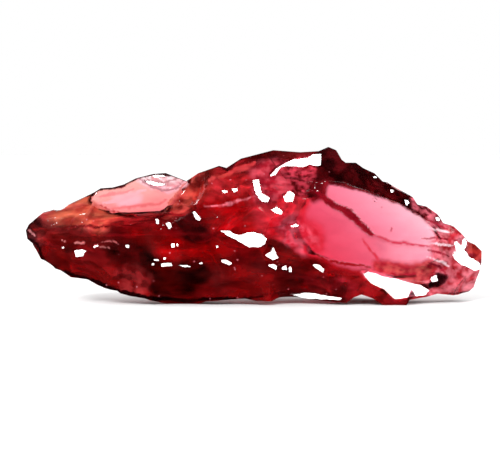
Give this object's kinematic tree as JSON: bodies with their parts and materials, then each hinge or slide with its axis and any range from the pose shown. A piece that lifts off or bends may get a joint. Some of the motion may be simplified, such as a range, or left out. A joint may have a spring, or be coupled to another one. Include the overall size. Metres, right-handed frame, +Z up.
{
  "type": "rough garnet crystal fragment",
  "caption": "Rough rhodolite garnet chip, long and wedge-shaped, with curved fracture faces and clear see-through panes",
  "frame": {"origin": "middle of the bounding box's base, on the surface that the stone rests on", "axes": "+X along the stone's length, towards the end with the large clear pane; +Y away from the side with the two clear panes; +Z up"},
  "size_m": [0.022, 0.0062, 0.0074],
  "materials": {
    "garnet": "glossy fracture surface, transparent"
  },
  "bodies": {
    "root": {"garnet": "garnet"}
  },
  "joints": []
}
